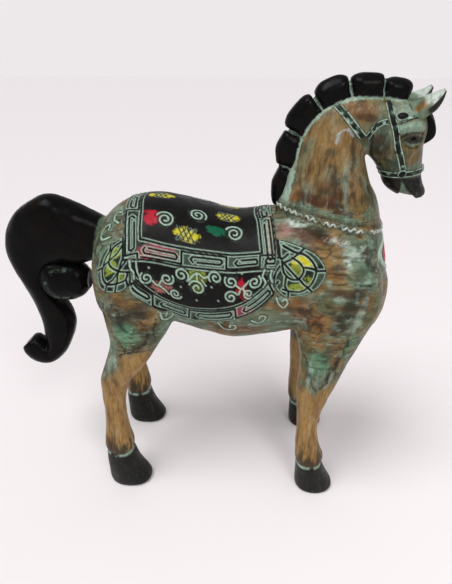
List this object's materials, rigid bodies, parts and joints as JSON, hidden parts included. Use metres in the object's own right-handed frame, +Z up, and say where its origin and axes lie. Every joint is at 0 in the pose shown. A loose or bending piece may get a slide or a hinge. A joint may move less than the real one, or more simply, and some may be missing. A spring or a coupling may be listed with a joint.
{
  "type": "carved horse figurine",
  "caption": "Standing carved wooden horse with arched neck, lobed mane, saddle-cloth carving and high curled tail, on flat hooves.",
  "frame": {"origin": "centre of the bounding box's length and width, on the ground under the soles", "axes": "+X towards the head, +Y towards the horse's left side, +Z up"},
  "size_m": [0.4714, 0.156, 0.4999],
  "materials": {
    "patina": "green wash over brown-stained wood, satin lacquer",
    "stained_wood": "tan to brown stain, satin lacquer",
    "black_lacquer": "black paint, gloss lacquer",
    "bare_wood": "unfinished dowel stock"
  },
  "bodies": {
    "root": {"trunk": "patina", "neck_head": "stained_wood", "mane": "black_lacquer", "forelock": "black_lacquer", "ear_right": "patina", "ear_left": "patina", "leg_front_right": "stained_wood", "leg_front_left": "stained_wood", "leg_hind_right": "stained_wood", "leg_hind_left": "stained_wood", "tail": "black_lacquer", "tail_curl": "black_lacquer", "neck_dowels": "bare_wood", "leg_dowels": "bare_wood", "tail_dowel": "bare_wood", "mane_dowels": "bare_wood", "curl_dowel": "bare_wood", "ear_pegs": "bare_wood"}
  },
  "joints": []
}
